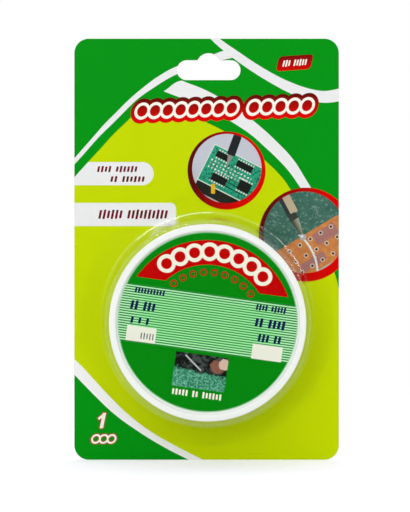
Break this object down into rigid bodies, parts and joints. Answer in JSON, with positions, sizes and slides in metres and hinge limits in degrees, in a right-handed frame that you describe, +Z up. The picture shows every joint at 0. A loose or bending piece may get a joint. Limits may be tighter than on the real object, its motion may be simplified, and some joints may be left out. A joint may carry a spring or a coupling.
{
  "type": "solder wire reel in hang-sell blister pack",
  "caption": "Flux-cored solder wire wound on a white plastic reel, held in a clear round blister on a printed backing card with a hang slot.",
  "frame": {"origin": "the point where the display peg bears, at the top of the hang slot, in the plane of the card's back", "axes": "+Z up the pack, +X to the right as seen from the front, +Y out of the card's back, so the reel faces -Y"},
  "size_m": [0.09, 0.0224, 0.1433],
  "materials": {
    "printed_board": "coated board, gloss print in lime, green and white",
    "clear_sheet": "clear formed sheet",
    "white_plastic": "white moulded, satin",
    "label_paper": "gloss printed paper",
    "solder": "bright drawn tin-lead",
    "rosin_flux": "amber rosin"
  },
  "bodies": {
    "card": {"backing_card": "printed_board"},
    "blister": {"blister_shell": "clear_sheet"},
    "reel": {"reel_front_half": "white_plastic", "reel_rear_half": "white_plastic", "front_label": "label_paper", "wound_core": "solder", "outer_layer": "solder", "wire_start": "solder", "wire_tail": "solder", "flux_core": "rosin_flux"}
  },
  "joints": [
    {"name": "reel_spin", "type": "hinge", "parent": "card", "child": "reel", "pos_m": [-0.0004, -0.0112, -0.09072], "axis": [0, 1, 0], "continuous": true},
    {"name": "blister_peel", "type": "slide", "parent": "card", "child": "blister", "axis": [0, -1, 0], "range_m": [0, 0.04]}
  ]
}
